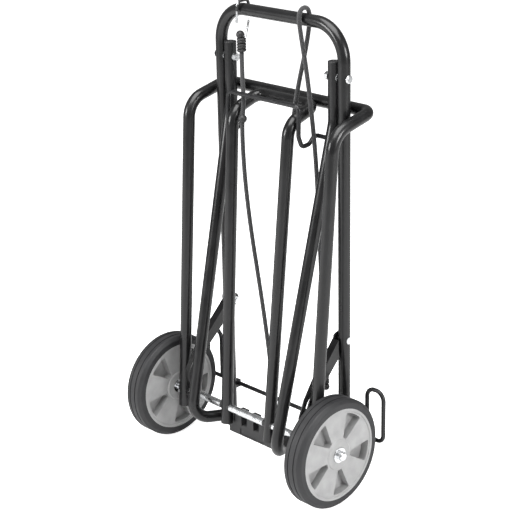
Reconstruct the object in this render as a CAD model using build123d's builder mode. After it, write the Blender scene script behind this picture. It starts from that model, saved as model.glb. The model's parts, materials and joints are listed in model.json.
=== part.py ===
from build123d import *
from math import pi, radians, tan
import os

# Folding platform cart, shown folded. Millimetres, +Z up, +X to the cart's right,
# +Y to its rear. Origin: centre of the footprint, on the floor.
# A rigid truss of bent steel tube carries an axle with two wheels. Two bent-tube
# platform frames hinge on the axle and swing back and down to carry a load.

# ---- driving dimensions -------------------------------------------------------
TUBE = 22.0               # every frame tube, outside diameter
WALL = 1.5
WHEEL_D = 200.0
WHEEL_W = 41.2
WHEEL_INNER_X = 190.8     # wheel face nearest the frame
AXLE_D = 10.0
FIT = 0.05                # radial running clearance
GAP = 0.3                 # side clearance between bodies

AXLE_Y = -22.5
AXLE_Z = WHEEL_D / 2

HANDLE_HALF = 151.5       # handle frame: legs, height and bend
HANDLE_Y = AXLE_Y + 98.75
HANDLE_TOP = 825.8
HANDLE_BEND = 62.0

POST_HALF = 128.6         # stay frame: posts beside the handle legs
POST_TOP = 762.0
KNEE = (POST_HALF, HANDLE_Y, 658.0)
STAY_FOOT = (111.0, AXLE_Y - 40.0, 70.0)
STAY_CROSS = (80.0, AXLE_Y + 29.0, 66.0)

OUTER_HALF = (173.8, 180.3)   # outer platform frame: half width at axle and at bend
OUTER_FRONT = (41.6, 656.0)   # bend, behind the axle, height
OUTER_BACK = (134.0, 678.0)
INNER_HALF = (57.0, 70.0)     # inner platform frame
INNER_FRONT = (47.0, 654.0)
INNER_BACK = (110.5, 675.0)
INNER_OFFSET = 2.2         # its legs stand this far behind the axle's centre
LEG_STUB = 31.0               # leg length below the axle

REST_Y = AXLE_Y + 114.2       # rear rest bar and its two loops
REST_Z = 82.6
REST_D = 8.0
LOOP_INNER, LOOP_OUTER, LOOP_TOP = 193.0, 232.0, 179.5

LATCH_D = 8.0
LATCH_PIVOT = (AXLE_Y + 92.0, 630.0)

POST_BOLT_Z = 737.0
BRACE_BOLT_Z = 265.0
BOLT_D = 8.0

SLEEVE_D = 14.0
CORD_D = 8.0


def finish(piece, name):
    """Label a finished piece and write it to its own STEP file."""
    piece.label = name
    export_step(piece, f"parts/{name}.step")


def bent_tube(route, radii, diameter, wall):
    """A round tube, or a solid rod where wall is 0, along straight runs and arcs."""
    with BuildPart() as tube:
        with BuildLine() as path:
            FilletPolyline(*route, radius=radii)
        with BuildSketch(Plane(origin=path.line @ 0, z_dir=path.line % 0)):
            Circle(diameter / 2)
            if wall:
                Circle(diameter / 2 - wall, mode=Mode.SUBTRACT)
        sweep()
    return tube


def mirrored_route(half):
    """A route from its right half, ending at the middle: left side first."""
    return [(-x, y, z) for x, y, z in half] + [(x, y, z) for x, y, z in reversed(half)]


os.makedirs("parts", exist_ok=True)

# ---- handle frame -------------------------------------------------------------
handle_half = [(HANDLE_HALF, HANDLE_Y, 3.0), (HANDLE_HALF, HANDLE_Y, HANDLE_TOP)]
handle = bent_tube(mirrored_route(handle_half), [HANDLE_BEND] * 2, TUBE, WALL)
with BuildPart() as handle_tube:
    add(handle.part)
    for z in (POST_BOLT_Z, BRACE_BOLT_Z):
        with Locations((0, HANDLE_Y, z)):
            Cylinder(BOLT_D / 2 + 0.1, 2 * HANDLE_HALF + TUBE + 10, rotation=(0, 90, 0),
                     mode=Mode.SUBTRACT)
finish(handle_tube.part, "handle_tube")

# rubber feet closing the handle legs, reaching the floor
with BuildPart() as handle_feet:
    with BuildSketch(Plane.XY):
        with Locations((-HANDLE_HALF, HANDLE_Y), (HANDLE_HALF, HANDLE_Y)):
            Circle(TUBE / 2 + 1)
    extrude(amount=3.0)
    with BuildSketch(Plane.XY.offset(3.0)):
        with Locations((-HANDLE_HALF, HANDLE_Y), (HANDLE_HALF, HANDLE_Y)):
            Circle(TUBE / 2 - WALL)
    extrude(amount=18.0)
    fillet(handle_feet.edges().group_by(Axis.Z)[0], 1.2)
finish(handle_feet.part, "handle_feet")

# ---- stay frame: capped posts, slanting legs, crossbar under the axle ----------
stay_half = [(POST_HALF, HANDLE_Y, POST_TOP), KNEE, STAY_FOOT, STAY_CROSS]
stay = bent_tube(mirrored_route(stay_half), [60, 30, 20, 20, 30, 60], TUBE, WALL)
with BuildPart() as stay_tube:
    add(stay.part)
    with Locations((0, HANDLE_Y, POST_BOLT_Z)):
        Cylinder(BOLT_D / 2 + 0.1, 2 * POST_HALF + TUBE + 10, rotation=(0, 90, 0),
                 mode=Mode.SUBTRACT)
    with Locations((-124, *LATCH_PIVOT), (124, *LATCH_PIVOT)):
        Cylinder(LATCH_D / 2 + FIT, 16, rotation=(0, 90, 0), mode=Mode.SUBTRACT)
finish(stay_tube.part, "stay_tube")

post_places = [(-POST_HALF, HANDLE_Y), (POST_HALF, HANDLE_Y)]
with BuildPart() as post_caps:
    with BuildSketch(Plane.XY.offset(POST_TOP)):
        with Locations(*post_places):
            Circle(TUBE / 2)
    extrude(amount=2.5)
    fillet(post_caps.edges().group_by(Axis.Z)[-1], 1.2)
    with BuildSketch(Plane.XY.offset(POST_TOP - 12)):
        with Locations(*post_places):
            Circle(TUBE / 2 - WALL)
    extrude(amount=12)
finish(post_caps.part, "post_caps")

# ---- bolts that join posts and braces to the handle legs ------------------------
post_outer = POST_HALF + TUBE / 2
leg_inner = HANDLE_HALF - TUBE / 2
leg_outer = HANDLE_HALF + TUBE / 2
post_inner = POST_HALF - TUBE / 2

with BuildPart() as post_spacers:
    for side in (-1, 1):
        with Locations((side * (post_outer + leg_inner) / 2, HANDLE_Y, POST_BOLT_Z)):
            Cylinder(BOLT_D / 2 + 4, leg_inner - post_outer, rotation=(0, 90, 0))
            Cylinder(BOLT_D / 2 + 0.1, 4, rotation=(0, 90, 0), mode=Mode.SUBTRACT)
finish(post_spacers.part, "post_spacers")

SHANK_END = post_inner - 9.0
with BuildPart() as post_bolts:
    for side in (-1, 1):
        with Locations((side * (leg_outer + SHANK_END) / 2, HANDLE_Y, POST_BOLT_Z)):
            Cylinder(BOLT_D / 2, leg_outer - SHANK_END, rotation=(0, 90, 0))
        with Locations(Plane((side * leg_outer, HANDLE_Y, POST_BOLT_Z), z_dir=(side, 0, 0))):
            Cylinder(7.5, 2.4, align=(Align.CENTER, Align.CENTER, Align.MIN))
    heads = post_bolts.faces().sort_by(Axis.X)
    fillet([heads[0].edges()[0], heads[-1].edges()[0]], 1.6)
finish(post_bolts.part, "post_bolts")

with BuildPart() as post_nuts:
    for side in (-1, 1):
        seat = Plane((side * post_inner, HANDLE_Y, POST_BOLT_Z), z_dir=(-side, 0, 0))
        with BuildSketch(seat):
            Circle(7.0)
            Circle(BOLT_D / 2, mode=Mode.SUBTRACT)
        extrude(amount=1.2)
        with BuildSketch(seat.offset(1.2)):
            RegularPolygon(6.5, 6, major_radius=False)
            Circle(BOLT_D / 2, mode=Mode.SUBTRACT)
        extrude(amount=6.0)
finish(post_nuts.part, "post_nuts")

# ---- braces: forked pressings from the handle legs down to the axle -------------
CHEEK = 2.5
FORK = 15.0               # outside width of the fork
BRACE_TILT = -2.4         # degrees, so the lower end sits clear of the stay leg
CHEEK_X = leg_inner - CHEEK - 1.3
BRACE_HALF_W = 12.5
WEB = 3.0                 # the web that joins the two cheeks along the front


def arm_outline(circles):
    """An arm's side view: each two neighbouring circles joined by their tangents."""
    with BuildSketch() as outline:
        for pair in zip(circles, circles[1:]):
            with BuildSketch(mode=Mode.PRIVATE) as link:
                for place, radius in pair:
                    with Locations(place):
                        Circle(radius)
                make_hull()
            add(link.sketch)
    return outline.sketch


def brace(side):
    """One forked brace, built on the right and mirrored for the left."""
    side_plane = Plane((CHEEK_X, 0, 0), x_dir=(0, 1, 0), z_dir=(1, 0, 0))
    outline = arm_outline([
        ((HANDLE_Y, BRACE_BOLT_Z), BRACE_HALF_W),
        ((AXLE_Y + 36.0, AXLE_Z + 102.0), BRACE_HALF_W - 3),
        ((AXLE_Y + 7.0, AXLE_Z + 71.0), 5.0),
        ((AXLE_Y - 7.0, AXLE_Z + 44.0), 4.5),
        ((AXLE_Y - 6.0, AXLE_Z + 20.0), 4.5),
        ((AXLE_Y, AXLE_Z), SLEEVE_D / 2 + 4.5),
    ])
    with BuildPart() as fork:
        with BuildSketch(side_plane):
            add(outline)
        extrude(amount=FORK)
        # hollow it from behind, which leaves two cheeks and the web along the front
        with BuildSketch(side_plane.offset(CHEEK)):
            with Locations((WEB * 0.6, -WEB * 0.8)):
                add(outline)
        extrude(amount=FORK - 2 * CHEEK, mode=Mode.SUBTRACT)
        # the outer cheek and web stop short of the handle leg
        with Locations((CHEEK_X + CHEEK + FORK / 2, HANDLE_Y + 20, BRACE_BOLT_Z)):
            Box(FORK, 2 * (TUBE / 2 + 24.5), 100, mode=Mode.SUBTRACT)
        # the web ends above the bend, leaving the fork open below
        with Locations((CHEEK_X + FORK / 2, AXLE_Y - 10, AXLE_Z + 30)):
            Box(FORK - 2 * CHEEK, 140, 130, mode=Mode.SUBTRACT)
        with Locations((CHEEK_X + FORK / 2, AXLE_Y, AXLE_Z)):
            Cylinder(SLEEVE_D / 2 + 1.2, FORK + 6, rotation=(0, 90, 0), mode=Mode.SUBTRACT)
        with Locations((CHEEK_X, HANDLE_Y, BRACE_BOLT_Z)):
            Cylinder(BOLT_D / 2 + 0.3, 12, rotation=(0, 90, 0), mode=Mode.SUBTRACT)
    hinge_line = Axis((CHEEK_X, HANDLE_Y, BRACE_BOLT_Z),
                      (0, BRACE_BOLT_Z - AXLE_Z, -(HANDLE_Y - AXLE_Y)))
    tilted = fork.part.rotate(hinge_line, BRACE_TILT)
    return tilted if side > 0 else mirror(tilted, Plane.YZ)


for side, name in ((-1, "brace_left"), (1, "brace_right")):
    finish(brace(side), name)

BRACE_NUT_X = CHEEK_X - 0.6
with BuildPart() as brace_bolts:
    for side in (-1, 1):
        with Locations((side * (leg_outer + BRACE_NUT_X - 9) / 2, HANDLE_Y, BRACE_BOLT_Z)):
            Cylinder(BOLT_D / 2, leg_outer - BRACE_NUT_X + 9, rotation=(0, 90, 0))
        with Locations(Plane((side * leg_outer, HANDLE_Y, BRACE_BOLT_Z), z_dir=(side, 0, 0))):
            Cylinder(6.5, 1.5, align=(Align.CENTER, Align.CENTER, Align.MIN))
finish(brace_bolts.part, "brace_bolts")

with BuildPart() as brace_nuts:
    for side in (-1, 1):
        seat = Plane((side * BRACE_NUT_X, HANDLE_Y, BRACE_BOLT_Z), z_dir=(-side, 0, 0))
        with BuildSketch(seat):
            RegularPolygon(6.5, 6, major_radius=False)
            Circle(BOLT_D / 2, mode=Mode.SUBTRACT)
        extrude(amount=6.0)
finish(brace_nuts.part, "brace_nuts")

# ---- axle, sleeves, washers and caps --------------------------------------------
WHEEL_OUTER_X = WHEEL_INNER_X + WHEEL_W
AXLE_HALF = WHEEL_OUTER_X + 8.0
HUB_WASHER = 1.6
with BuildPart() as axle:
    with Locations((0, AXLE_Y, AXLE_Z)):
        Cylinder(AXLE_D / 2, 2 * AXLE_HALF, rotation=(0, 90, 0))
    chamfer(axle.edges(), 0.8)
finish(axle.part, "axle")


def sleeve(x_from, x_to):
    """A zinc-plated spacer tube on the axle, along X."""
    with BuildPart() as ring:
        with BuildSketch(Plane((x_from, AXLE_Y, AXLE_Z), z_dir=(1, 0, 0))):
            Circle(SLEEVE_D / 2)
            Circle(AXLE_D / 2, mode=Mode.SUBTRACT)
        extrude(amount=x_to - x_from)
    return ring.part


inner_leg_in = INNER_HALF[0] - TUBE / 2 - 1.0
inner_leg_out = INNER_HALF[0] + TUBE / 2 + 1.0
outer_leg_in = OUTER_HALF[0] - TUBE / 2
outer_leg_out = OUTER_HALF[0] + TUBE / 2
finish(sleeve(-(inner_leg_in - GAP), inner_leg_in - GAP), "centre_sleeve")
finish(sleeve(-(outer_leg_in - GAP), -(inner_leg_out + GAP)), "side_sleeve_left")
finish(sleeve(inner_leg_out + GAP, outer_leg_in - GAP), "side_sleeve_right")
finish(sleeve(-(WHEEL_INNER_X - GAP), -(outer_leg_out + GAP)), "hub_sleeve_left")
finish(sleeve(outer_leg_out + GAP, WHEEL_INNER_X - GAP), "hub_sleeve_right")

for side, name in ((-1, "left"), (1, "right")):
    with BuildPart() as washer:
        with BuildSketch(Plane((side * (WHEEL_OUTER_X + GAP), AXLE_Y, AXLE_Z), z_dir=(side, 0, 0))):
            Circle(14.0)
            Circle(AXLE_D / 2, mode=Mode.SUBTRACT)
        extrude(amount=HUB_WASHER)
        fillet(washer.edges().filter_by(GeomType.CIRCLE).sort_by(SortBy.RADIUS)[-2:], 0.5)
    finish(washer.part, f"hub_washer_{name}")
    with BuildPart() as cap:
        face = WHEEL_OUTER_X + GAP + HUB_WASHER
        with BuildSketch(Plane((side * face, AXLE_Y, AXLE_Z), z_dir=(side, 0, 0))):
            Circle(8.0)
        extrude(amount=9.5)
        fillet(cap.faces().sort_by(Axis.X)[-1 if side > 0 else 0].edges(), 2.5)
        with Locations((side * (face + AXLE_HALF) / 2, AXLE_Y, AXLE_Z)):
            Cylinder(AXLE_D / 2, AXLE_HALF - face, rotation=(0, 90, 0), mode=Mode.SUBTRACT)
    finish(cap.part, f"axle_cap_{name}")

# ---- step block on the crossbar, with saddles under the axle ---------------------
BLOCK_HALF = 66.0
BLOCK_FRONT, BLOCK_BACK, BLOCK_TOP = 14.5, 45.0, 81.0
block_profile = [(BLOCK_FRONT, 41), (BLOCK_FRONT, 64), (22, BLOCK_TOP - 1), (40, BLOCK_TOP),
                 (BLOCK_BACK, 76), (BLOCK_BACK, 47), (39, 41)]
with BuildPart() as step_block:
    with BuildSketch(Plane((-BLOCK_HALF, AXLE_Y, 0), x_dir=(0, 1, 0), z_dir=(1, 0, 0))):
        with BuildLine():
            Polyline(*block_profile, close=True)
        make_face()
    extrude(amount=2 * BLOCK_HALF)
    fillet(step_block.edges().filter_by(Axis.X), 2.5)
    # three saddles that cradle the axle sleeve from below and behind
    with Locations(*[(x, AXLE_Y + 16.5, 81.0) for x in (-32, 0, 32)]):
        Box(17, 21, 26)
    with Locations((0, AXLE_Y, AXLE_Z)):
        Cylinder(SLEEVE_D / 2 + 0.15, 2 * BLOCK_HALF, rotation=(0, 90, 0), mode=Mode.SUBTRACT)
    # bore for the crossbar
    with Locations((0, STAY_CROSS[1], STAY_CROSS[2])):
        Cylinder(TUBE / 2, 2 * BLOCK_HALF + 2, rotation=(0, 90, 0), mode=Mode.SUBTRACT)
    # shallow panel on the front face and grip grooves on the slope
    with BuildSketch(Plane((-5.0, AXLE_Y + BLOCK_FRONT, 50.5), x_dir=(1, 0, 0), z_dir=(0, -1, 0))):
        RectangleRounded(62, 12, 1.5)
    extrude(amount=-1.0, mode=Mode.SUBTRACT)
finish(step_block.part, "step_block")

with BuildPart() as block_screws:
    for x in (-50, 50):
        with Locations(Plane((x, AXLE_Y + BLOCK_BACK, 60), z_dir=(0, 1, 0))):
            Cylinder(4.5, 2.2, align=(Align.CENTER, Align.CENTER, Align.MIN))
    fillet(block_screws.edges().group_by(Axis.Y)[-1], 1.2)
finish(block_screws.part, "block_screws")

# ---- rear rest bar with its two loops, and the clips that hold it ----------------
rest_half = [(LOOP_INNER, REST_Y, REST_Z + REST_D / 2 + 0.2), (LOOP_INNER, REST_Y, LOOP_TOP),
             (LOOP_OUTER, REST_Y, LOOP_TOP), (LOOP_OUTER, REST_Y, REST_Z)]
rest_bar = bent_tube(mirrored_route(rest_half), [17, 17, 14, 14, 17, 17], REST_D, 0)
finish(rest_bar.part, "rest_bar")

with BuildPart() as rest_clips:
    for side in (-1, 1):
        clip_y = (HANDLE_Y + REST_Y) / 2
        with Locations((side * HANDLE_HALF, clip_y + 4.5, REST_Z - 1.5)):
            Box(10, REST_Y - HANDLE_Y + 4, 15)
    fillet(rest_clips.edges().filter_by(Axis.X), 1.5)
    with Locations((0, REST_Y, REST_Z)):
        Cylinder(REST_D / 2, 2 * HANDLE_HALF + 40, rotation=(0, 90, 0), mode=Mode.SUBTRACT)
    with Locations((-HANDLE_HALF, HANDLE_Y, REST_Z), (HANDLE_HALF, HANDLE_Y, REST_Z)):
        Cylinder(TUBE / 2, 40, mode=Mode.SUBTRACT)
finish(rest_clips.part, "rest_clips")

# ---- platform frames --------------------------------------------------------------


def platform_frame(half, front, back, offset, bends):
    """A U of tube: legs up from the axle, bent back into a foot ring at the top."""
    foot_z = AXLE_Z - LEG_STUB
    slope_y = (front[0] - offset) / (front[1] - AXLE_Z)
    slope_x = (half[1] - half[0]) / (front[1] - AXLE_Z)
    side_route = [
        (half[0] - slope_x * LEG_STUB, AXLE_Y + offset - slope_y * LEG_STUB, foot_z),
        (half[1], AXLE_Y + front[0], front[1]),
        (half[1], AXLE_Y + back[0], back[1]),
    ]
    tube = bent_tube(mirrored_route(side_route), bends, TUBE, WALL)
    with BuildPart() as frame:
        add(tube.part)
        with Locations((0, AXLE_Y, AXLE_Z)):
            Cylinder(SLEEVE_D / 2, 2 * half[0] + TUBE + 10, rotation=(0, 90, 0), mode=Mode.SUBTRACT)
    return frame.part, side_route


def leg_plugs(side_route, name):
    """Plastic plugs that close the lower ends of a platform frame's legs."""
    low, high = Vector(*side_route[0]), Vector(*side_route[1])
    along = (high - low).normalized()
    with BuildPart() as plugs:
        with BuildSketch(Plane(origin=low, z_dir=along)):
            Circle(TUBE / 2 - WALL)
        extrude(amount=10)
        with BuildSketch(Plane(origin=low, z_dir=along)):
            Circle(TUBE / 2)
        extrude(amount=-2.0)
        mirror(about=Plane.YZ)
    finish(plugs.part, name)


def pivot_bushes(half_x, flange, name):
    """Nylon bushes through a frame's legs, running on the axle."""
    with BuildPart() as bushes:
        for side in (-1, 1):
            with Locations((side * half_x, AXLE_Y, AXLE_Z)):
                Cylinder(SLEEVE_D / 2, TUBE + 2 * flange, rotation=(0, 90, 0))
                Cylinder(AXLE_D / 2 + FIT, TUBE + 12, rotation=(0, 90, 0), mode=Mode.SUBTRACT)
    finish(bushes.part, name)


outer, outer_route = platform_frame(OUTER_HALF, OUTER_FRONT, OUTER_BACK, 0.0,
                                    [42, 16, 16, 42])
finish(outer, "outer_frame")
leg_plugs(outer_route, "outer_plugs")
pivot_bushes(OUTER_HALF[0], 0.0, "outer_bushes")

inner, inner_route = platform_frame(INNER_HALF, INNER_FRONT, INNER_BACK, INNER_OFFSET,
                                    [36, 18, 18, 36])
finish(inner, "inner_frame")
leg_plugs(inner_route, "inner_plugs")
pivot_bushes(INNER_HALF[0], 1.0, "inner_bushes")

# ---- wire latch bail between the stay legs -----------------------------------------
pivot_y, pivot_z = LATCH_PIVOT
LATCH_HALF = 88.4
latch_half = [(123.0, pivot_y, pivot_z), (LATCH_HALF, pivot_y, pivot_z),
              (LATCH_HALF, AXLE_Y + 78, 616.0), (LATCH_HALF, AXLE_Y + 60, 614.5),
              (LATCH_HALF, AXLE_Y + 52, 634.0), (LATCH_HALF, AXLE_Y + 54, 686.0)]
latch_bends = [8, 14, 9, 20, 9]
latch = bent_tube(mirrored_route(latch_half), latch_bends + latch_bends[::-1], LATCH_D, 0)
finish(latch.part, "latch_wire")

# ---- wheels --------------------------------------------------------------------------
RIM_R = 84.0
SPOKES = 5
POCKET_DEPTH = 15.0
POCKET_TURN = 59.0        # degrees from +Y, where the first pocket lies
HUB_R = 26.0
BEARING_R = 13.0
BEARING_W = 8.0


# one wedge-shaped pocket between two spokes, drawn with the hub at its origin
with BuildSketch() as pocket:
    with BuildLine():
        Polyline((73, 20), (30, 4.5), (30, -4.5), (73, -20))
        ThreePointArc((73, -20), (75.7, 0), (73, 20))
    make_face()
    fillet(pocket.vertices(), 3.0)

for side, name in ((-1, "left"), (1, "right")):
    mid_x = side * (WHEEL_INNER_X + WHEEL_W / 2)
    half_w = WHEEL_W / 2
    turn_plane = Plane((mid_x, AXLE_Y, AXLE_Z), x_dir=(1, 0, 0), z_dir=(0, -1, 0))
    turn_axis = Axis((0, AXLE_Y, AXLE_Z), (1, 0, 0))
    with BuildPart() as tyre:
        with BuildSketch(turn_plane):
            with BuildLine():
                Polyline((-half_w, RIM_R), (-half_w, 94), (-15, 100), (15, 100), (half_w, 94),
                         (half_w, RIM_R), close=True)
            make_face()
            fillet([v for v in vertices() if v.Y > 90], 3.0)
            for groove_x in (-6.5, 6.5):
                with Locations((groove_x, 100)):
                    Rectangle(2.4, 2.4, mode=Mode.SUBTRACT)
        revolve(axis=turn_axis)
    finish(tyre.part, f"tyre_{name}")

    with BuildPart() as rim:
        with BuildSketch(turn_plane):
            with BuildLine():
                Polyline((-half_w, 12), (-half_w, HUB_R), (-half_w + 1.5, HUB_R + 2),
                         (-half_w + 1.5, 79), (-half_w, 80), (-half_w, RIM_R), (half_w, RIM_R),
                         (half_w, 80), (half_w - 1.5, 79), (half_w - 1.5, HUB_R + 2),
                         (half_w, HUB_R), (half_w, 12), close=True)
            make_face()
        revolve(axis=turn_axis)
        for face_side in (-1, 1):
            face_x = mid_x + face_side * (half_w - 1.5)
            with BuildSketch(Plane((face_x, AXLE_Y, AXLE_Z), x_dir=(0, 1, 0), z_dir=(face_side, 0, 0))):
                with PolarLocations(0, SPOKES, start_angle=POCKET_TURN * face_side):
                    add(pocket.sketch)
            extrude(amount=-POCKET_DEPTH, mode=Mode.SUBTRACT)
        with Locations((mid_x, AXLE_Y, AXLE_Z)):
            Cylinder(AXLE_D / 2 + 1.5, WHEEL_W + 2, rotation=(0, 90, 0), mode=Mode.SUBTRACT)
        for face_side in (-1, 1):
            with Locations((mid_x + face_side * (half_w - BEARING_W / 2), AXLE_Y, AXLE_Z)):
                Cylinder(BEARING_R, BEARING_W, rotation=(0, 90, 0), mode=Mode.SUBTRACT)
    finish(rim.part, f"rim_{name}")

    with BuildPart() as bearings:
        for face_side in (-1, 1):
            with Locations((mid_x + face_side * (half_w - BEARING_W / 2), AXLE_Y, AXLE_Z)):
                Cylinder(BEARING_R, BEARING_W, rotation=(0, 90, 0))
                Cylinder(AXLE_D / 2 + FIT, BEARING_W + 2, rotation=(0, 90, 0), mode=Mode.SUBTRACT)
    finish(bearings.part, f"bearings_{name}")

# ---- stretch cords ---------------------------------------------------------------------
BALL_R = 6.8
CRIMP_R = 5.5
CRIMP_L = 14.0


def cord_radii(route):
    """The largest arc that each corner's two runs allow."""
    radii = []
    for before, here, after in zip(route, route[1:], route[2:]):
        run_in, run_out = Vector(*here) - Vector(*before), Vector(*after) - Vector(*here)
        shorter = min(run_in.length, run_out.length)
        radii.append(0.45 * shorter / tan(radians(run_in.get_angle(run_out) / 2)))
    return radii


def cord(route, name):
    """A cord's plain solid: straight runs joined by tangent arcs."""
    radii = cord_radii(route)
    solid = bent_tube(route, radii, CORD_D, 0)
    length = solid.part.volume / (pi * CORD_D ** 2 / 4)
    print(name, "length", round(length), "radii", [round(r) for r in radii])
    finish(solid.part, name)


def crimp_and_ball(end, inner_point):
    """A ribbed crimp on a cord's end and the plastic ball beyond it."""
    out = (Vector(*end) - Vector(*inner_point)).normalized()
    seat = Plane(origin=end, z_dir=out)
    with BuildPart() as crimp:
        with BuildSketch(seat):
            Circle(CRIMP_R)
        extrude(amount=CRIMP_L)
        for step in (3.0, 7.0, 11.0):
            with BuildSketch(seat.offset(step - 0.6)):
                Circle(CRIMP_R)
                Circle(CRIMP_R - 0.8, mode=Mode.SUBTRACT)
            extrude(amount=1.2, mode=Mode.SUBTRACT)
    with BuildPart() as ball:
        with Locations(seat.offset(CRIMP_L + BALL_R - 1.0)):
            Sphere(BALL_R)
        with BuildSketch(seat):
            Circle(CRIMP_R)
        extrude(amount=CRIMP_L, mode=Mode.SUBTRACT)
    return crimp.part, ball.part


# long cord: pulled tight from a hook on the handle bar down to the step block
LONG_ROUTE = [
    (-88.5, AXLE_Y + 89, 753.0), (-75.0, AXLE_Y + 76, 718.0), (-52.0, AXLE_Y + 58, 672.0),
    (-46.5, AXLE_Y + 45, 625.0), (-25.8, AXLE_Y + 35, 492.0), (17.3, AXLE_Y + 30, 304.0),
    (38.0, AXLE_Y + 27, 190.0), (40.0, AXLE_Y + 33, 90.0),
]
cord(LONG_ROUTE, "long_cord")

with BuildPart() as long_cord_anchor:
    with BuildSketch(Plane.XY.offset(90.0)):
        with Locations((40, AXLE_Y + 33)):
            Circle(CRIMP_R)
    extrude(amount=BLOCK_TOP - 90.2)
finish(long_cord_anchor.part, "long_cord_anchor")

BEAD_AT = (-48.6, AXLE_Y + 50.0, 643.0)
with BuildPart() as long_cord_bead:
    bead_plane = Plane(origin=BEAD_AT, z_dir=Vector(*LONG_ROUTE[3]) - Vector(*LONG_ROUTE[2]))
    with Locations(bead_plane):
        Sphere(8.0)
        Cylinder(CORD_D / 2, 20, mode=Mode.SUBTRACT)
finish(long_cord_bead.part, "long_cord_bead")

KNOT_R = 8.5
KNOT_L = 25.0
KNOT_AT = Plane(origin=(-88.3, AXLE_Y + 89.0, 752.0), z_dir=(0, 0, 1))
with BuildPart() as long_cord_crimp:
    with BuildSketch(KNOT_AT):
        Circle(KNOT_R)
    extrude(amount=KNOT_L)
    for turn in range(4):
        with BuildSketch(KNOT_AT.offset(4.5 + 5.0 * turn)):
            Circle(KNOT_R)
            Circle(KNOT_R - 1.5, mode=Mode.SUBTRACT)
        extrude(amount=1.2, mode=Mode.SUBTRACT)
finish(long_cord_crimp.part, "long_cord_crimp")

HOOK_D = 4.0
hook_route = [
    (-93.4, AXLE_Y + 83.3, 806.0), (-91.5, AXLE_Y + 83.3, 840.5), (-94.0, AXLE_Y + 114.0, 840.5),
    (-94.0, AXLE_Y + 114.0, 806.0), (-82.5, AXLE_Y + 92.0, 774.0),
]
hook = bent_tube(hook_route, [10, 10, 16], HOOK_D, 0)
finish(hook.part, "long_cord_hook")

# the cord's own end comes out of the top of the crimp as a ball
with BuildPart() as long_cord_ball:
    with Locations((-90.0, AXLE_Y + 88.0, 782.0)):
        Sphere(7.5)
finish(long_cord_ball.part, "long_cord_ball")

# short cord: hung over the handle bar, with a crimp and a ball on each end
SHORT_ROUTE = [
    (116.0, AXLE_Y + 87, 186.0), (108.0, AXLE_Y + 86, 360.0), (104.0, AXLE_Y + 82.5, 530.0),
    (101.0, AXLE_Y + 79, 619.0), (84.0, AXLE_Y + 80, 733.0), (66.0, AXLE_Y + 81.6, 808.0),
    (62.5, AXLE_Y + 81.6, 834.0), (60.0, AXLE_Y + 90.4, 845.6), (57.0, AXLE_Y + 107.0, 845.6),
    (55.2, AXLE_Y + 115.9, 834.0), (55.0, AXLE_Y + 114.3, 808.0), (54.6, AXLE_Y + 104.0, 765.0),
    (52.0, AXLE_Y + 92.5, 722.0), (46.5, AXLE_Y + 87.0, 678.0), (39.0, AXLE_Y + 86.0, 630.0),
    (27.0, AXLE_Y + 87.0, 560.0), (19.0, AXLE_Y + 87.5, 505.0),
]
cord(SHORT_ROUTE, "short_cord")
crimp_a, ball_a = crimp_and_ball(SHORT_ROUTE[0], SHORT_ROUTE[1])
crimp_b, ball_b = crimp_and_ball(SHORT_ROUTE[-1], SHORT_ROUTE[-2])
finish(Compound(children=[crimp_a, crimp_b]), "short_cord_crimps")
finish(Compound(children=[ball_a, ball_b]), "short_cord_balls")
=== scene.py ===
"""Folding platform cart, dressed: painted tube, zinc fasteners, rubber tyres and stretch cords."""
import json
import math

import bmesh
import bpy
from mathutils import Matrix, Vector


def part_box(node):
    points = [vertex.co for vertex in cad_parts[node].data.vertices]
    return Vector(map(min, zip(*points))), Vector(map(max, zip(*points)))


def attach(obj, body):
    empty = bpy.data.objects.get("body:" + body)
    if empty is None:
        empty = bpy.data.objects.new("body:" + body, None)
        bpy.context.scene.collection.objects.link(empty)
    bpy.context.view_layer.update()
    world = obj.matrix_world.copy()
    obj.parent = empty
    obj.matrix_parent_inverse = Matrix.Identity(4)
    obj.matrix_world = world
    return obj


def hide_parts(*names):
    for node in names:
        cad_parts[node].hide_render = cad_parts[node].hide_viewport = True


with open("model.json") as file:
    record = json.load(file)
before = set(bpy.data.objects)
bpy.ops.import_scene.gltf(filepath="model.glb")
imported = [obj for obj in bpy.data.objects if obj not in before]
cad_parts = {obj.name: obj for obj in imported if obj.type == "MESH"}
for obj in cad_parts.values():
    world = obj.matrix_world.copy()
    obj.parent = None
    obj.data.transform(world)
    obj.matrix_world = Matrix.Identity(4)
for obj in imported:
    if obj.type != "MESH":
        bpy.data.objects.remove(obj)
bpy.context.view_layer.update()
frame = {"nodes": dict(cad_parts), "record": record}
nodes = frame["nodes"]

MM = 0.001

# ---- places taken from the frame -------------------------------------------------
axle_low, axle_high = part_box("axle")
AXLE = Vector((0, (axle_low.y + axle_high.y) / 2, (axle_low.z + axle_high.z) / 2))


def from_axle(x, y, z):
    """A point in metres, from millimetres with y measured behind the axle and z above the floor."""
    return Vector((x * MM, AXLE.y + y * MM, z * MM))


# ---- materials --------------------------------------------------------------------
def linear(hex_colour):
    """An sRGB hex colour as linear RGBA."""
    values = [int(hex_colour[i:i + 2], 16) / 255 for i in (1, 3, 5)]
    return [v / 12.92 if v <= 0.04045 else ((v + 0.055) / 1.055) ** 2.4 for v in values] + [1.0]


def add_node(tree, kind, settings=None, links=None, stops=()):
    """One node with its settings (attributes or input values), input links and ramp stops."""
    node = tree.nodes.new(kind)
    for key, value in (settings or {}).items():
        if hasattr(node, key):
            setattr(node, key, value)
        else:
            node.inputs[key].default_value = value
    for key, source in (links or {}).items():
        tree.links.new(source, node.inputs[key])
    for index, (place, colour) in enumerate(stops):
        elements = node.color_ramp.elements
        element = elements[index] if index < len(elements) else elements.new(place)
        element.position = place
        element.color = linear(colour)
    return node


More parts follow.
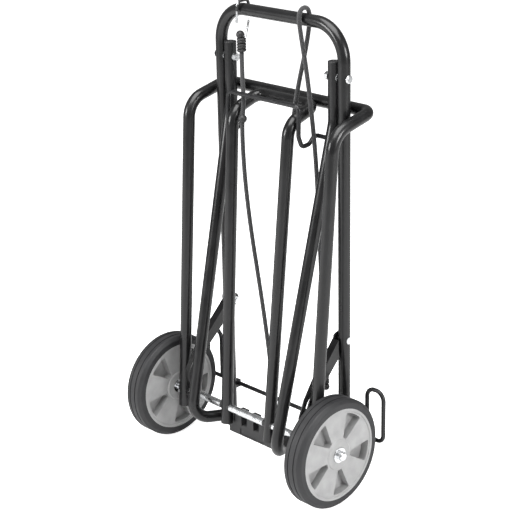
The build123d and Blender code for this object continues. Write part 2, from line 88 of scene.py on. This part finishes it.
def start_material(name, **sockets):
    """A material with a principled shader whose uniform values sit on its own sockets."""
    material = bpy.data.materials.new(name)
    material.use_nodes = True
    tree = material.node_tree
    shader = tree.nodes["Principled BSDF"]
    for key, value in sockets.items():
        shader.inputs[key.replace("_", " ")].default_value = value
    position = add_node(tree, "ShaderNodeTexCoord").outputs["Object"]
    return material, tree, shader, position


def per_metre(size_mm):
    """Noise scale whose features are about this size."""
    return 1.0 / (size_mm * MM)


def black_enamel():
    """Stoved black enamel on steel tube: smooth gloss with a faint orange peel."""
    material, tree, shader, position = start_material(
        "black_enamel", IOR=1.5, Metallic=0.0, Specular_IOR_Level=0.32, Coat_Weight=0.25,
        Coat_Roughness=0.08)
    peel = add_node(tree, "ShaderNodeTexNoise", {"Scale": per_metre(2.2), "Detail": 2.0},
                    {"Vector": position})
    handling = add_node(tree, "ShaderNodeTexNoise", {"Scale": per_metre(38.0), "Detail": 5.0},
                        {"Vector": position})
    colour = add_node(tree, "ShaderNodeValToRGB", links={"Fac": handling.outputs["Fac"]},
                      stops=[(0.35, "#0e0e0f"), (0.7, "#161617")])
    tree.links.new(colour.outputs["Color"], shader.inputs["Base Color"])
    roughness = add_node(tree, "ShaderNodeMapRange",
                         {"From Min": 0.3, "From Max": 0.75, "To Min": 0.26, "To Max": 0.4},
                         {"Value": handling.outputs["Fac"]})
    tree.links.new(roughness.outputs["Result"], shader.inputs["Roughness"])
    relief = add_node(tree, "ShaderNodeBump", {"Strength": 0.12, "Distance": 0.0004},
                      {"Height": peel.outputs["Fac"]})
    tree.links.new(relief.outputs["Normal"], shader.inputs["Normal"])
    return material


def coated_wire():
    """Dip-coated black wire: softer gloss than the tube's enamel, slightly uneven."""
    material, tree, shader, position = start_material(
        "coated_wire", IOR=1.5, Metallic=0.0, Specular_IOR_Level=0.35, Coat_Weight=0.1,
        Coat_Roughness=0.2)
    run = add_node(tree, "ShaderNodeTexNoise", {"Scale": per_metre(5.0), "Detail": 3.0},
                   {"Vector": position})
    colour = add_node(tree, "ShaderNodeValToRGB", links={"Fac": run.outputs["Fac"]},
                      stops=[(0.3, "#121214"), (0.75, "#1b1b1d")])
    tree.links.new(colour.outputs["Color"], shader.inputs["Base Color"])
    roughness = add_node(tree, "ShaderNodeMapRange",
                         {"From Min": 0.3, "From Max": 0.7, "To Min": 0.3, "To Max": 0.45},
                         {"Value": run.outputs["Fac"]})
    tree.links.new(roughness.outputs["Result"], shader.inputs["Roughness"])
    relief = add_node(tree, "ShaderNodeBump", {"Strength": 0.2, "Distance": 0.0003},
                      {"Height": run.outputs["Fac"]})
    tree.links.new(relief.outputs["Normal"], shader.inputs["Normal"])
    return material


def zinc_plate():
    """Bright zinc plating: pale blue-white metal with fine turning marks and cloudy patches."""
    material, tree, shader, position = start_material("zinc_plate", Metallic=1.0)
    turning = add_node(tree, "ShaderNodeTexWave",
                       {"wave_type": "BANDS", "bands_direction": "X", "Scale": per_metre(6.0),
                        "Distortion": 1.5, "Detail": 3.0}, {"Vector": position})
    cloud = add_node(tree, "ShaderNodeTexNoise", {"Scale": per_metre(9.0), "Detail": 4.0},
                     {"Vector": position})
    colour = add_node(tree, "ShaderNodeValToRGB", links={"Fac": cloud.outputs["Fac"]},
                      stops=[(0.3, "#cdcfd1"), (0.7, "#e2e3e4")])
    tree.links.new(colour.outputs["Color"], shader.inputs["Base Color"])
    roughness = add_node(tree, "ShaderNodeMapRange",
                         {"From Min": 0.3, "From Max": 0.7, "To Min": 0.22, "To Max": 0.3},
                         {"Value": cloud.outputs["Fac"]})
    tree.links.new(roughness.outputs["Result"], shader.inputs["Roughness"])
    relief = add_node(tree, "ShaderNodeBump", {"Strength": 0.03, "Distance": 0.0002},
                      {"Height": turning.outputs["Fac"]})
    tree.links.new(relief.outputs["Normal"], shader.inputs["Normal"])
    return material


def drawn_steel():
    """Cold-drawn bright steel: near mirror, with faint lengthwise draw lines."""
    material, tree, shader, position = start_material("drawn_steel", Metallic=1.0)
    stretched = add_node(tree, "ShaderNodeMapping", {"Scale": (20.0, 900.0, 900.0)},
                         {"Vector": position})
    lines = add_node(tree, "ShaderNodeTexNoise", {"Scale": 1.0, "Detail": 3.0},
                     {"Vector": stretched.outputs["Vector"]})
    colour = add_node(tree, "ShaderNodeValToRGB", links={"Fac": lines.outputs["Fac"]},
                      stops=[(0.3, "#bfc0c2"), (0.7, "#dcdddf")])
    tree.links.new(colour.outputs["Color"], shader.inputs["Base Color"])
    roughness = add_node(tree, "ShaderNodeMapRange",
                         {"From Min": 0.3, "From Max": 0.7, "To Min": 0.14, "To Max": 0.26},
                         {"Value": lines.outputs["Fac"]})
    tree.links.new(roughness.outputs["Result"], shader.inputs["Roughness"])
    return material


def tyre_rubber():
    """Solid vulcanised rubber: dull dark grey, fine moulding grain, paler where it has been scuffed."""
    material, tree, shader, position = start_material(
        "tyre_rubber", IOR=1.52, Metallic=0.0)
    grain = add_node(tree, "ShaderNodeTexNoise", {"Scale": per_metre(1.6), "Detail": 4.0},
                     {"Vector": position})
    scuff = add_node(tree, "ShaderNodeTexNoise", {"Scale": per_metre(22.0), "Detail": 6.0},
                     {"Vector": position})
    colour = add_node(tree, "ShaderNodeValToRGB", links={"Fac": scuff.outputs["Fac"]},
                      stops=[(0.3, "#161618"), (0.6, "#1e1e20"), (0.8, "#28282a")])
    tree.links.new(colour.outputs["Color"], shader.inputs["Base Color"])
    roughness = add_node(tree, "ShaderNodeMapRange",
                         {"From Min": 0.3, "From Max": 0.7, "To Min": 0.5, "To Max": 0.68},
                         {"Value": scuff.outputs["Fac"]})
    tree.links.new(roughness.outputs["Result"], shader.inputs["Roughness"])
    relief = add_node(tree, "ShaderNodeBump", {"Strength": 0.25, "Distance": 0.0003},
                      {"Height": grain.outputs["Fac"]})
    tree.links.new(relief.outputs["Normal"], shader.inputs["Normal"])
    return material


def rim_plastic():
    """Injection-moulded grey polypropylene: satin spark-eroded grain with a hint of flow marks."""
    material, tree, shader, position = start_material(
        "rim_plastic", IOR=1.49, Metallic=0.0)
    grain = add_node(tree, "ShaderNodeTexNoise", {"Scale": per_metre(0.9), "Detail": 3.0},
                     {"Vector": position})
    flow = add_node(tree, "ShaderNodeTexNoise", {"Scale": per_metre(26.0), "Detail": 4.0},
                    {"Vector": position})
    colour = add_node(tree, "ShaderNodeValToRGB", links={"Fac": flow.outputs["Fac"]},
                      stops=[(0.3, "#8b8b8b"), (0.7, "#9c9c9c")])
    tree.links.new(colour.outputs["Color"], shader.inputs["Base Color"])
    roughness = add_node(tree, "ShaderNodeMapRange",
                         {"From Min": 0.3, "From Max": 0.7, "To Min": 0.42, "To Max": 0.55},
                         {"Value": flow.outputs["Fac"]})
    tree.links.new(roughness.outputs["Result"], shader.inputs["Roughness"])
    relief = add_node(tree, "ShaderNodeBump", {"Strength": 0.3, "Distance": 0.0002},
                      {"Height": grain.outputs["Fac"]})
    tree.links.new(relief.outputs["Normal"], shader.inputs["Normal"])
    return material


def black_plastic():
    """Moulded black polypropylene: matt with a fine leather-like texture."""
    material, tree, shader, position = start_material(
        "black_plastic", IOR=1.49, Metallic=0.0)
    grain = add_node(tree, "ShaderNodeTexVoronoi", {"Scale": per_metre(1.1)},
                     {"Vector": position})
    tone = add_node(tree, "ShaderNodeTexNoise", {"Scale": per_metre(14.0), "Detail": 4.0},
                    {"Vector": position})
    colour = add_node(tree, "ShaderNodeValToRGB", links={"Fac": tone.outputs["Fac"]},
                      stops=[(0.3, "#1b1b1c"), (0.7, "#262627")])
    tree.links.new(colour.outputs["Color"], shader.inputs["Base Color"])
    roughness = add_node(tree, "ShaderNodeMapRange",
                         {"From Min": 0.3, "From Max": 0.7, "To Min": 0.4, "To Max": 0.58},
                         {"Value": tone.outputs["Fac"]})
    tree.links.new(roughness.outputs["Result"], shader.inputs["Roughness"])
    relief = add_node(tree, "ShaderNodeBump", {"Strength": 0.2, "Distance": 0.0002},
                      {"Height": grain.outputs["Distance"]})
    tree.links.new(relief.outputs["Normal"], shader.inputs["Normal"])
    return material


CORD_DIAMETER = 8.0 * MM
BRAID_STRANDS = 4             # strands that cross the sheath each way
BRAID_REPEATS = 90            # crossings along a cord


def braided_cord():
    """Textile-sheathed stretch cord: dull black polyester braid in crossing diagonal strands."""
    material, tree, shader, _ = start_material(
        "braided_cord", IOR=1.5, Metallic=0.0, Roughness=0.72, Sheen_Weight=0.35,
        Sheen_Roughness=0.5)
    along_sheath = add_node(tree, "ShaderNodeTexCoord").outputs["UV"]
    wave_unit = math.tau / 10          # a diagonal wave repeats each tau / 10
    strands = []
    for lean in (1, -1):
        laid = add_node(tree, "ShaderNodeMapping",
                        {"Scale": (BRAID_REPEATS * wave_unit, lean * BRAID_STRANDS * wave_unit, 0.0)},
                        {"Vector": along_sheath})
        strands.append(add_node(tree, "ShaderNodeTexWave",
                                {"wave_type": "BANDS", "bands_direction": "DIAGONAL", "Scale": 1.0},
                                {"Vector": laid.outputs["Vector"]}).outputs["Fac"])
    weave = add_node(tree, "ShaderNodeMath", {"operation": "MULTIPLY"})
    tree.links.new(strands[0], weave.inputs[0])
    tree.links.new(strands[1], weave.inputs[1])
    colour = add_node(tree, "ShaderNodeValToRGB", links={"Fac": weave.outputs["Value"]},
                      stops=[(0.0, "#0f0f10"), (0.7, "#29292c")])
    tree.links.new(colour.outputs["Color"], shader.inputs["Base Color"])
    relief = add_node(tree, "ShaderNodeBump", {"Strength": 0.5, "Distance": 0.0004},
                      {"Height": weave.outputs["Value"]})
    tree.links.new(relief.outputs["Normal"], shader.inputs["Normal"])
    return material


MATERIALS = {
    "painted_tube": black_enamel(),
    "coated_wire": coated_wire(),
    "zinc_plate": zinc_plate(),
    "steel_rod": drawn_steel(),
    "tyre_rubber": tyre_rubber(),
    "rim_plastic": rim_plastic(),
    "black_plastic": black_plastic(),
    "nylon": black_plastic(),
    "stretch_cord": braided_cord(),
}


def dress(piece, slot_name):
    """Give a piece the material of a record slot."""
    piece.data.materials.clear()
    piece.data.materials.append(MATERIALS[slot_name])


for subpart in frame["record"]["subparts"]:
    dress(nodes[subpart["node"]], subpart["material_slot"])

# ---- stretch cords --------------------------------------------------------------------
LONG_ROUTE = [
    (-88.5, 89.0, 753.0), (-75.0, 76.0, 718.0), (-52.0, 58.0, 672.0), (-46.5, 45.0, 625.0),
    (-25.8, 35.0, 492.0), (17.3, 30.0, 304.0), (38.0, 27.0, 190.0), (40.0, 33.0, 90.0),
]
SHORT_ROUTE = [
    (116.0, 87.0, 186.0), (108.0, 86.0, 360.0), (104.0, 82.5, 530.0), (101.0, 79.0, 619.0),
    (84.0, 80.0, 733.0), (66.0, 81.6, 808.0), (62.5, 81.6, 834.0), (60.0, 90.4, 845.6),
    (57.0, 107.0, 845.6), (55.2, 115.9, 834.0), (55.0, 114.3, 808.0), (54.6, 104.0, 765.0),
    (52.0, 92.5, 722.0), (46.5, 87.0, 678.0), (39.0, 86.0, 630.0), (27.0, 87.0, 560.0),
    (19.0, 87.5, 505.0),
]


def smooth_curve(name, points, radius):
    """One NURBS spline with the route's points as its control points."""
    data = bpy.data.curves.new(name, "CURVE")
    data.dimensions = "3D"
    spline = data.splines.new("NURBS")
    spline.points.add(len(points) - 1)
    for point, place in zip(spline.points, points):
        point.co = (*place, 1.0)
    spline.order_u = 3
    spline.use_endpoint_u = True
    spline.resolution_u = 12
    data.bevel_depth = radius
    data.bevel_resolution = 6
    data.use_fill_caps = True
    piece = bpy.data.objects.new(name, data)
    bpy.context.scene.collection.objects.link(piece)
    return piece


def stretch_cord(name, route, node, body="frame"):
    """A cord along its route, in place of its part, with a braid that follows it."""
    points = [from_axle(*p) for p in route]
    piece = smooth_curve(name, points, CORD_DIAMETER / 2)
    piece.data.materials.append(MATERIALS["stretch_cord"])
    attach(piece, body)
    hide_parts(node)
    return piece


# ---- turned and bent hardware on the cords -------------------------------------------------
def new_piece(name, bm, slot_name, node=None, body="frame", flat_angle=40.0):
    """A finished mesh piece: smooth except at hard edges, dressed, riding on its body."""
    bmesh.ops.recalc_face_normals(bm, faces=bm.faces)
    for edge in bm.edges:
        if edge.is_manifold and edge.calc_face_angle() > math.radians(flat_angle):
            edge.smooth = False
    data = bpy.data.meshes.new(name)
    bm.to_mesh(data)
    bm.free()
    data.shade_smooth()
    piece = bpy.data.objects.new(name, data)
    bpy.context.scene.collection.objects.link(piece)
    dress(piece, slot_name)
    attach(piece, body)
    if node:
        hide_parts(node)
    return piece


def placed(origin, axis):
    """The turn that takes +Z to an axis, then the move to an origin."""
    return Matrix.Translation(origin) @ Vector(axis).to_track_quat("Z", "Y").to_matrix().to_4x4()


def ring_mesh(mean_radius, wire_radius, where):
    """A ring of its own about +Z, placed, ready to join a piece."""
    bm = bmesh.new()
    bmesh.ops.create_circle(bm, segments=14, radius=wire_radius,
                            matrix=Matrix.Translation((mean_radius, 0, 0))
                            @ Matrix.Rotation(math.pi / 2, 4, "X"))
    bmesh.ops.spin(bm, geom=bm.edges[:], cent=(0, 0, 0), axis=(0, 0, 1), angle=math.tau,
                   steps=40, use_merge=True)
    bmesh.ops.remove_doubles(bm, verts=bm.verts, dist=1e-6)
    bmesh.ops.transform(bm, matrix=where, verts=bm.verts)
    data = bpy.data.meshes.new("ring")
    bm.to_mesh(data)
    bm.free()
    return data


def joined(*meshes):
    """One bmesh from several meshes, which are then dropped."""
    bm = bmesh.new()
    for data in meshes:
        bm.from_mesh(data)
        bpy.data.meshes.remove(data)
    return bm


def ball_mesh(radius, where):
    """A ball, ready to join a piece."""
    bm = bmesh.new()
    bmesh.ops.create_uvsphere(bm, u_segments=32, v_segments=18, radius=radius,
                              matrix=where)
    data = bpy.data.meshes.new("ball")
    bm.to_mesh(data)
    bm.free()
    return data


TURN_RADIUS = 2.7 * MM          # the cord flattened where it is bound
TURN_PITCH = 5.0 * MM
TURN_LEANS = (math.radians(-6), math.radians(8))
CORE_INSET = 1.5                # turn radii between the turns' outside and the core's
LONG_KNOT_REACH = 8.5 * MM
LONG_BALL_RADIUS = 7.5 * MM
SHORT_KNOT_REACH = 6.6 * MM
SHORT_BALL_RADIUS = 6.8 * MM
SHORT_BALL_BEYOND = 20 * MM     # from a short cord's end to the middle of its ball
HOOK_WIRE_RADIUS = 1.9 * MM
HOOK_SLEEVE_RADIUS = 2.6 * MM


def bound_end(name, foot, axis, turns, reach, node):
    """The turns of cord bound round a cord's end, each lying a little askew."""
    meshes = []
    for turn in range(turns):
        where = (placed(foot, axis) @ Matrix.Translation((0, 0, (turn + 0.5) * TURN_PITCH))
                 @ Matrix.Rotation(TURN_LEANS[turn % 2], 4, "XY"[turn % 2]))
        meshes.append(ring_mesh(reach - TURN_RADIUS, TURN_RADIUS, where))
    core_height = turns * TURN_PITCH
    core_radius = reach - CORE_INSET * TURN_RADIUS
    core = bmesh.new()
    bmesh.ops.create_cone(core, cap_ends=True, segments=32, radius1=core_radius,
                          radius2=core_radius, depth=core_height,
                          matrix=placed(foot, axis) @ Matrix.Translation((0, 0, core_height / 2)))
    data = bpy.data.meshes.new("core")
    core.to_mesh(data)
    core.free()
    return new_piece(name, joined(*meshes, data), "black_plastic", node)


def wire_piece(name, points, radius, slot_name, node=None):
    """A bent wire on one smooth line, as a mesh."""
    curve = smooth_curve(name + "_line", points, radius)
    mesh = bpy.data.meshes.new_from_object(curve.evaluated_get(bpy.context.evaluated_depsgraph_get()))
    bpy.data.objects.remove(curve)
    bm = bmesh.new()
    bm.from_mesh(mesh)
    bpy.data.meshes.remove(mesh)
    bmesh.ops.remove_doubles(bm, verts=bm.verts, dist=1e-6)
    return new_piece(name, bm, slot_name, node)


STRAIGHT_UP = Vector((0, 0, 1))
bound_end("long_cord_binding", from_axle(-88.3, 89.0, 752.0), STRAIGHT_UP, 5, LONG_KNOT_REACH,
          "long_cord_crimp")
new_piece("long_cord_tail_ball",
          joined(ball_mesh(LONG_BALL_RADIUS, placed(from_axle(-90.0, 88.0, 782.0), STRAIGHT_UP))),
          "black_plastic", "long_cord_ball")

# the hook: thin zinc wire up behind the handle bar, a black sleeve over it, a thicker tip in front
HOOK_LINE = [(-82.5, 92.0, 774.0), (-88.0, 103.0, 790.0), (-94.0, 114.0, 806.0),
             (-94.0, 114.0, 824.0), (-94.0, 114.0, 840.5), (-93.0, 98.5, 841.5),
             (-91.5, 83.3, 840.5), (-92.5, 83.3, 824.0), (-93.4, 83.3, 806.0)]
wire_piece("long_cord_hook_wire", [from_axle(*p) for p in HOOK_LINE], HOOK_WIRE_RADIUS, "zinc_plate",
           "long_cord_hook")
wire_piece("long_cord_hook_sleeve", [from_axle(*p) for p in HOOK_LINE[3:8]], HOOK_SLEEVE_RADIUS,
           "black_plastic")
wire_piece("long_cord_hook_tip",
           [from_axle(-93.2, 83.3, 811.0), from_axle(-93.3, 83.3, 807.0),
            from_axle(-93.4, 83.3, 803.5)], HOOK_SLEEVE_RADIUS, "zinc_plate")

# the short cord's two ends, each bound and finished with a ball
SHORT_ENDS = (("outer", SHORT_ROUTE[0], SHORT_ROUTE[1], "short_cord_crimps", "short_cord_balls"),
              ("inner", SHORT_ROUTE[-1], SHORT_ROUTE[-2], None, None))
for word, end, before, crimp_node, ball_node in SHORT_ENDS:
    foot = from_axle(*end)
    axis = (foot - from_axle(*before)).normalized()
    bound_end(f"short_cord_binding_{word}", foot, axis, 3, SHORT_KNOT_REACH,
                                  crimp_node)
    ball_place = placed(foot + axis * SHORT_BALL_BEYOND, axis)
    new_piece(f"short_cord_ball_{word}",
                                  joined(ball_mesh(SHORT_BALL_RADIUS, ball_place)),
                                  "black_plastic", ball_node)

stretch_cord("long_stretch_cord", LONG_ROUTE, "long_cord")
stretch_cord("short_stretch_cord", SHORT_ROUTE, "short_cord")

# ---- studio -----------------------------------------------------------------------------
FLOOR_SIZE = 40.0
FLOOR_GLOW = 0.85              # keeps the far floor as white as the sky behind it


def studio_floor():
    """A plain pale sweep, level with the wheels."""
    bm = bmesh.new()
    bmesh.ops.create_grid(bm, x_segments=1, y_segments=1, size=FLOOR_SIZE / 2)
    data = bpy.data.meshes.new("floor")
    bm.to_mesh(data)
    bm.free()
    floor = bpy.data.objects.new("floor", data)
    bpy.context.scene.collection.objects.link(floor)
    material, tree, shader, _ = start_material("pale_sweep", Roughness=0.9)
    shader.inputs["Base Color"].default_value = linear("#f4f4f4")
    shader.inputs["Emission Color"].default_value = linear("#ffffff")
    seen = add_node(tree, "ShaderNodeLightPath").outputs["Is Camera Ray"]
    glow = add_node(tree, "ShaderNodeMapRange", {"To Min": 0.0, "To Max": FLOOR_GLOW},
                    {"Value": seen})
    tree.links.new(glow.outputs["Result"], shader.inputs["Emission Strength"])
    data.materials.append(material)


def soft_light(name, place, aim, size, power):
    """A square area light that points at a place."""
    data = bpy.data.lights.new(name, "AREA")
    data.size = size
    data.energy = power
    light = bpy.data.objects.new(name, data)
    light.location = place
    light.rotation_mode = "QUATERNION"
    light.rotation_quaternion = (Vector(aim) - Vector(place)).to_track_quat("-Z", "Y")
    bpy.context.scene.collection.objects.link(light)


studio_floor()
CART_MIDDLE = (0.0, 0.0, 0.42)
AMBIENT = 0.3                  # what the pale surroundings give, against the white behind
soft_light("overhead", (0.3, -0.6, 3.0), CART_MIDDLE, 2.4, 130.0)
soft_light("left_front", (-1.4, -3.0, 1.5), CART_MIDDLE, 1.2, 80.0)
soft_light("right_side", (3.2, 0.4, 1.6), CART_MIDDLE, 1.2, 80.0)

world = bpy.data.worlds.new("studio")
world.use_nodes = True
sky = world.node_tree
ray = add_node(sky, "ShaderNodeLightPath").outputs["Is Camera Ray"]
strength = add_node(sky, "ShaderNodeMapRange", {"To Min": AMBIENT, "To Max": 1.0}, {"Value": ray})
sky.nodes["Background"].inputs["Color"].default_value = linear("#ffffff")
sky.links.new(strength.outputs["Result"], sky.nodes["Background"].inputs["Strength"])
bpy.context.scene.world = world
bpy.context.scene.view_settings.view_transform = "Standard"

# ---- camera -------------------------------------------------------------------------------
CAMERA_AZIMUTH = math.radians(46.686)
CAMERA_ELEVATION = math.radians(19.417)
CAMERA_ROLL = math.radians(-1.212)
CAMERA_AIM = Vector((0.01379, -0.00786, 0.41212))
CAMERA_DISTANCE = 2.70902
SENSOR_WIDTH = 36.0
LENS = 107.85

camera_data = bpy.data.cameras.new("camera")
camera_data.sensor_width = SENSOR_WIDTH
camera_data.lens = LENS
camera = bpy.data.objects.new("camera", camera_data)
bpy.context.scene.collection.objects.link(camera)
back = Vector((math.sin(CAMERA_AZIMUTH) * math.cos(CAMERA_ELEVATION),
               -math.cos(CAMERA_AZIMUTH) * math.cos(CAMERA_ELEVATION),
               math.sin(CAMERA_ELEVATION)))
level_right = (-back).cross(Vector((0, 0, 1))).normalized()
level_up = back.cross(level_right)
right = math.cos(CAMERA_ROLL) * level_right + math.sin(CAMERA_ROLL) * level_up
up = math.cos(CAMERA_ROLL) * level_up - math.sin(CAMERA_ROLL) * level_right
place = CAMERA_AIM + back * CAMERA_DISTANCE
camera.matrix_world = Matrix((
    (right.x, up.x, back.x, place.x),
    (right.y, up.y, back.y, place.y),
    (right.z, up.z, back.z, place.z),
    (0, 0, 0, 1)))
bpy.context.scene.camera = camera
